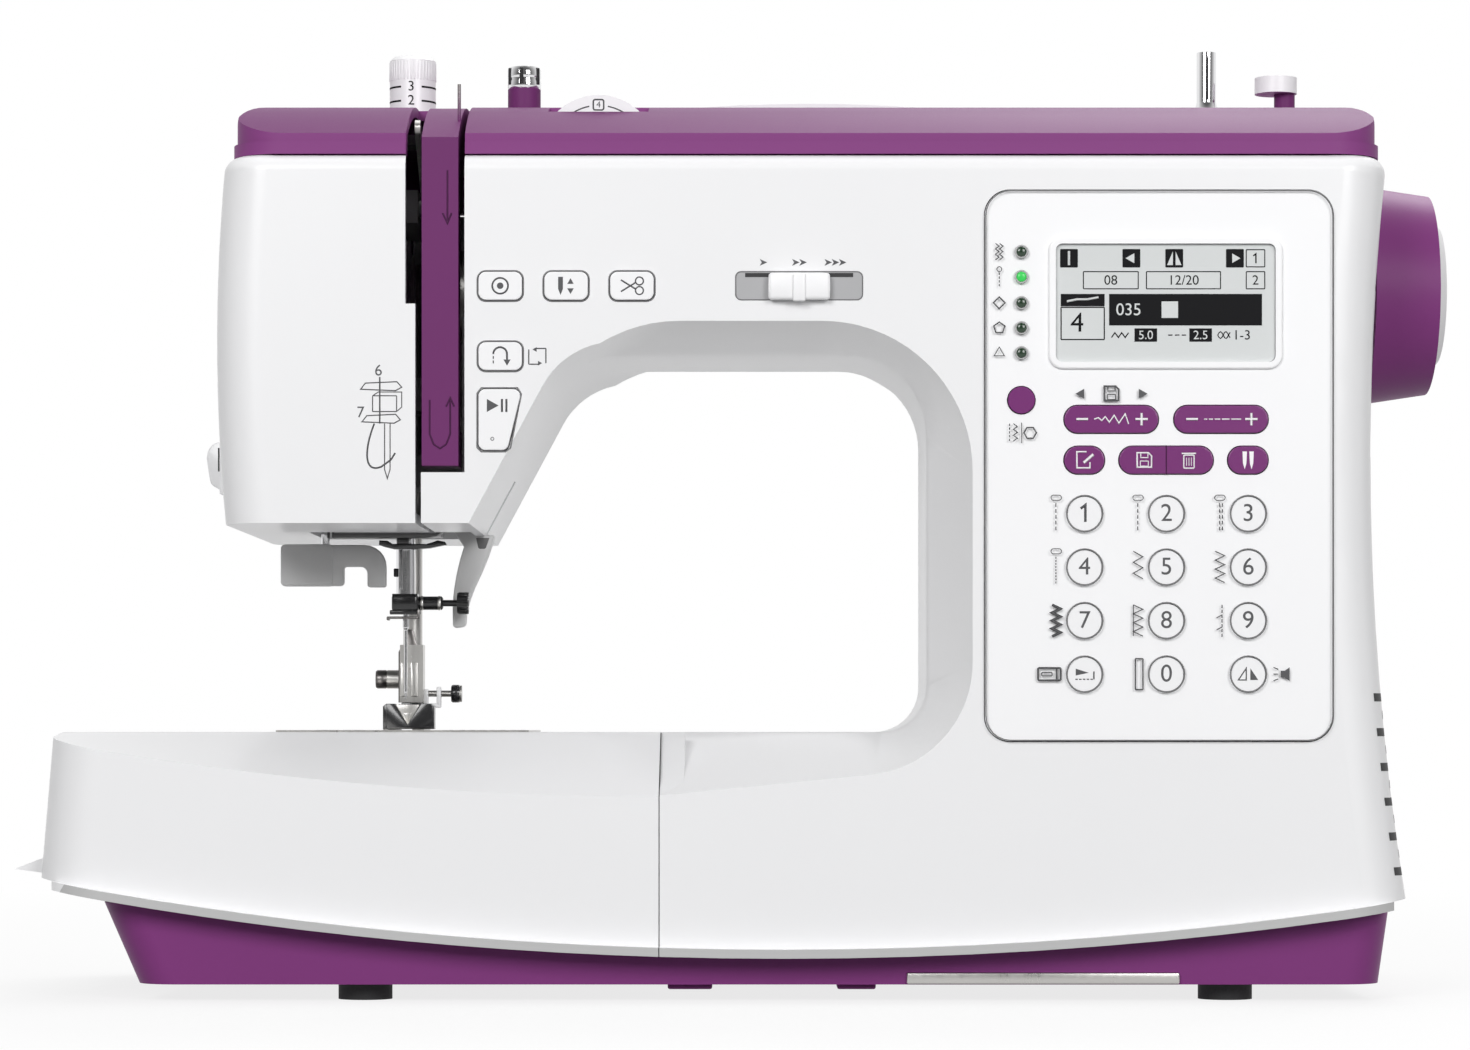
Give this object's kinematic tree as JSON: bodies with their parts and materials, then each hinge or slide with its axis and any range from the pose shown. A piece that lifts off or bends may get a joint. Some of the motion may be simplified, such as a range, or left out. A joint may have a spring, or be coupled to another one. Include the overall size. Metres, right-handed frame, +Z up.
{
  "type": "sewing machine",
  "caption": "Computerised household sewing machine with free arm, slide-on extension table, control panel and handwheel; it sews cloth on its bed.",
  "frame": {"origin": "on the surface under the feet, at the middle of the machine's footprint", "axes": "+X to the handwheel, +Y to the back, +Z up"},
  "size_m": [0.4304, 0.168, 0.29],
  "materials": {
    "white_plastic": "satin white moulding",
    "purple_plastic": "satin purple moulding",
    "black_plastic": "matte black",
    "grey_plastic": "satin grey",
    "black_rubber": "matte",
    "steel": "ground",
    "chrome": "polished",
    "cast_frame": "as cast",
    "motor_paint": "black enamel",
    "board": "solder mask",
    "screen_glass": "display window",
    "clear_cover": "clear acrylic"
  },
  "bodies": {
    "machine": {"base_tray": "purple_plastic", "front_housing": "white_plastic", "rear_housing": "white_plastic", "face_cover": "white_plastic", "top_cover": "purple_plastic", "thread_panel": "purple_plastic", "needle_plate": "steel", "rubber_feet": "black_rubber", "control_panel": "white_plastic", "lcd_window": "screen_glass", "main_frame": "cast_frame", "housing_screws": "steel", "drive_belts": "black_rubber", "motor": "motor_paint", "circuit_board": "board"},
    "table": {"extension_table": "white_plastic"},
    "handle": {"carry_handle": "white_plastic"},
    "drive": {"upper_shaft": "steel", "handwheel": "purple_plastic"},
    "needle_slide": {"needle_bar": "chrome", "needle": "steel"},
    "presser": {"presser_bar": "chrome", "presser_foot": "black_plastic"},
    "lifter": {"presser_lifter": "grey_plastic"},
    "threader": {"needle_threader": "grey_plastic"},
    "take_up": {"take_up_lever": "steel"},
    "lower_drive": {"lower_shaft": "steel"},
    "hook": {"rotary_hook": "black_plastic"},
    "bobbin": {"bobbin": "clear_cover"},
    "feed": {"feed_dog": "steel"},
    "rotor": {"motor_pulley": "steel"},
    "winder": {"winder_spindle": "chrome"},
    "dial": {"tension_dial": "white_plastic"},
    "knob": {"pressure_knob": "white_plastic"},
    "switch": {"power_switch": "black_plastic"},
    "slider": {"speed_slider": "white_plastic"},
    "lid": {"bobbin_cover": "clear_cover"},
    "number_key_0": {"number_key_0": "white_plastic"},
    "number_key_1": {"number_key_1": "white_plastic"},
    "number_key_2": {"number_key_2": "white_plastic"},
    "number_key_3": {"number_key_3": "white_plastic"},
    "number_key_4": {"number_key_4": "white_plastic"},
    "number_key_5": {"number_key_5": "white_plastic"},
    "number_key_6": {"number_key_6": "white_plastic"},
    "number_key_7": {"number_key_7": "white_plastic"},
    "number_key_8": {"number_key_8": "white_plastic"},
    "number_key_9": {"number_key_9": "white_plastic"},
    "pattern_key": {"pattern_key": "white_plastic"},
    "mirror_key": {"mirror_key": "white_plastic"},
    "mode_key": {"mode_key": "purple_plastic"},
    "width_key": {"width_key": "purple_plastic"},
    "length_key": {"length_key": "purple_plastic"},
    "edit_key": {"edit_key": "purple_plastic"},
    "memory_key": {"memory_key": "purple_plastic"},
    "twin_needle_key": {"twin_needle_key": "purple_plastic"},
    "lock_stitch_key": {"lock_stitch_key": "white_plastic"},
    "needle_position_key": {"needle_position_key": "white_plastic"},
    "thread_cut_key": {"thread_cut_key": "white_plastic"},
    "reverse_key": {"reverse_key": "white_plastic"},
    "start_stop_key": {"start_stop_key": "white_plastic"}
  },
  "joints": [
    {"name": "wheel_turn", "type": "hinge", "parent": "machine", "child": "drive", "pos_m": [0.19, 0, 0.214], "axis": [1, 0, 0], "continuous": true},
    {"name": "lower_turn", "type": "hinge", "parent": "machine", "child": "lower_drive", "pos_m": [0.1, 0, 0.042], "axis": [1, 0, 0], "continuous": true},
    {"name": "hook_turn", "type": "hinge", "parent": "machine", "child": "hook", "pos_m": [-0.092, -0.0124, 0.06], "axis": [0, 0, 1], "continuous": true},
    {"name": "rotor_turn", "type": "hinge", "parent": "machine", "child": "rotor", "pos_m": [0.145, -0.036, 0.104], "axis": [1, 0, 0], "continuous": true},
    {"name": "bobbin_turn", "type": "hinge", "parent": "hook", "child": "bobbin", "pos_m": [-0.092, -0.0124, 0.06], "axis": [0, 0, 1], "continuous": true},
    {"name": "winder_turn", "type": "hinge", "parent": "machine", "child": "winder", "pos_m": [0.142, 0, 0.27], "axis": [0, 0, 1], "continuous": true},
    {"name": "table_draw", "type": "slide", "parent": "machine", "child": "table", "axis": [-1, 0, 0], "range_m": [0, 0.13]},
    {"name": "handle_fold", "type": "hinge", "parent": "machine", "child": "handle", "pos_m": [0.019, 0.058, 0.2726], "axis": [-1, 0, 0], "range_deg": [0, 90]},
    {"name": "needle_stroke", "type": "slide", "parent": "machine", "child": "needle_slide", "axis": [0, 0, 1], "range_m": [-0.03, 0]},
    {"name": "lifter_swing", "type": "hinge", "parent": "machine", "child": "lifter", "pos_m": [-0.09, 0.006, 0.147], "axis": [0, -1, 0], "range_deg": [0, 60]},
    {"name": "presser_lift", "type": "slide", "parent": "machine", "child": "presser", "axis": [0, 0, 1], "range_m": [0, 0.0062]},
    {"name": "threader_pull", "type": "slide", "parent": "machine", "child": "threader", "axis": [0, 0, -1], "range_m": [0, 0.035], "stiffness_N_per_m": 20, "springref_m": -0.02},
    {"name": "take_up_swing", "type": "hinge", "parent": "machine", "child": "take_up", "pos_m": [-0.098, -0.026, 0.238], "axis": [1, 0, 0], "range_deg": [0, 70]},
    {"name": "feed_drop", "type": "slide", "parent": "machine", "child": "feed", "axis": [0, 0, 1], "range_m": [-0.0015, 0]},
    {"name": "tension_turn", "type": "hinge", "parent": "machine", "child": "dial", "pos_m": [-0.0446, -0.05, 0.251], "axis": [0, 1, 0], "range_deg": [-140, 140]},
    {"name": "pressure_turn", "type": "hinge", "parent": "machine", "child": "knob", "pos_m": [-0.1049, 0.015, 0.268], "axis": [0, 0, 1], "range_deg": [-150, 150]},
    {"name": "switch_rock", "type": "hinge", "parent": "machine", "child": "switch", "pos_m": [0.1805, -0.014, 0.136], "axis": [0, 1, 0], "range_deg": [-7, 7]},
    {"name": "speed_slide", "type": "slide", "parent": "machine", "child": "slider", "axis": [1, 0, 0], "range_m": [-0.0095, 0.0095]},
    {"name": "lid_lift", "type": "slide", "parent": "machine", "child": "lid", "axis": [0, 0, 1], "range_m": [0, 0.006]},
    {"name": "number_key_0_press", "type": "slide", "parent": "machine", "child": "number_key_0", "axis": [0, 1, 0], "range_m": [0, 0.0008], "stiffness_N_per_m": 300},
    {"name": "number_key_1_press", "type": "slide", "parent": "machine", "child": "number_key_1", "axis": [0, 1, 0], "range_m": [0, 0.0008], "stiffness_N_per_m": 300},
    {"name": "number_key_2_press", "type": "slide", "parent": "machine", "child": "number_key_2", "axis": [0, 1, 0], "range_m": [0, 0.0008], "stiffness_N_per_m": 300},
    {"name": "number_key_3_press", "type": "slide", "parent": "machine", "child": "number_key_3", "axis": [0, 1, 0], "range_m": [0, 0.0008], "stiffness_N_per_m": 300},
    {"name": "number_key_4_press", "type": "slide", "parent": "machine", "child": "number_key_4", "axis": [0, 1, 0], "range_m": [0, 0.0008], "stiffness_N_per_m": 300},
    {"name": "number_key_5_press", "type": "slide", "parent": "machine", "child": "number_key_5", "axis": [0, 1, 0], "range_m": [0, 0.0008], "stiffness_N_per_m": 300},
    {"name": "number_key_6_press", "type": "slide", "parent": "machine", "child": "number_key_6", "axis": [0, 1, 0], "range_m": [0, 0.0008], "stiffness_N_per_m": 300},
    {"name": "number_key_7_press", "type": "slide", "parent": "machine", "child": "number_key_7", "axis": [0, 1, 0], "range_m": [0, 0.0008], "stiffness_N_per_m": 300},
    {"name": "number_key_8_press", "type": "slide", "parent": "machine", "child": "number_key_8", "axis": [0, 1, 0], "range_m": [0, 0.0008], "stiffness_N_per_m": 300},
    {"name": "number_key_9_press", "type": "slide", "parent": "machine", "child": "number_key_9", "axis": [0, 1, 0], "range_m": [0, 0.0008], "stiffness_N_per_m": 300},
    {"name": "pattern_key_press", "type": "slide", "parent": "machine", "child": "pattern_key", "axis": [0, 1, 0], "range_m": [0, 0.0008], "stiffness_N_per_m": 300},
    {"name": "mirror_key_press", "type": "slide", "parent": "machine", "child": "mirror_key", "axis": [0, 1, 0], "range_m": [0, 0.0008], "stiffness_N_per_m": 300},
    {"name": "mode_key_press", "type": "slide", "parent": "machine", "child": "mode_key", "axis": [0, 1, 0], "range_m": [0, 0.0008], "stiffness_N_per_m": 300},
    {"name": "width_key_press", "type": "slide", "parent": "machine", "child": "width_key", "axis": [0, 1, 0], "range_m": [0, 0.0008], "stiffness_N_per_m": 300},
    {"name": "length_key_press", "type": "slide", "parent": "machine", "child": "length_key", "axis": [0, 1, 0], "range_m": [0, 0.0008], "stiffness_N_per_m": 300},
    {"name": "edit_key_press", "type": "slide", "parent": "machine", "child": "edit_key", "axis": [0, 1, 0], "range_m": [0, 0.0008], "stiffness_N_per_m": 300},
    {"name": "memory_key_press", "type": "slide", "parent": "machine", "child": "memory_key", "axis": [0, 1, 0], "range_m": [0, 0.0008], "stiffness_N_per_m": 300},
    {"name": "twin_needle_key_press", "type": "slide", "parent": "machine", "child": "twin_needle_key", "axis": [0, 1, 0], "range_m": [0, 0.0008], "stiffness_N_per_m": 300},
    {"name": "lock_stitch_key_press", "type": "slide", "parent": "machine", "child": "lock_stitch_key", "axis": [0, 1, 0], "range_m": [0, 0.0008], "stiffness_N_per_m": 300},
    {"name": "needle_position_key_press", "type": "slide", "parent": "machine", "child": "needle_position_key", "axis": [0, 1, 0], "range_m": [0, 0.0008], "stiffness_N_per_m": 300},
    {"name": "thread_cut_key_press", "type": "slide", "parent": "machine", "child": "thread_cut_key", "axis": [0, 1, 0], "range_m": [0, 0.0008], "stiffness_N_per_m": 300},
    {"name": "reverse_key_press", "type": "slide", "parent": "machine", "child": "reverse_key", "axis": [0, 1, 0], "range_m": [0, 0.0008], "stiffness_N_per_m": 300},
    {"name": "start_stop_key_press", "type": "slide", "parent": "machine", "child": "start_stop_key", "axis": [0, 1, 0], "range_m": [0, 0.0008], "stiffness_N_per_m": 300}
  ],
  "couplings": [
    {"joint": "lower_turn", "follows": "wheel_turn", "ratio": 1},
    {"joint": "hook_turn", "follows": "wheel_turn", "ratio": 2},
    {"joint": "rotor_turn", "follows": "wheel_turn", "ratio": 4},
    {"joint": "presser_lift", "follows": "lifter_swing", "m_per_rad": 0.0057}
  ]
}
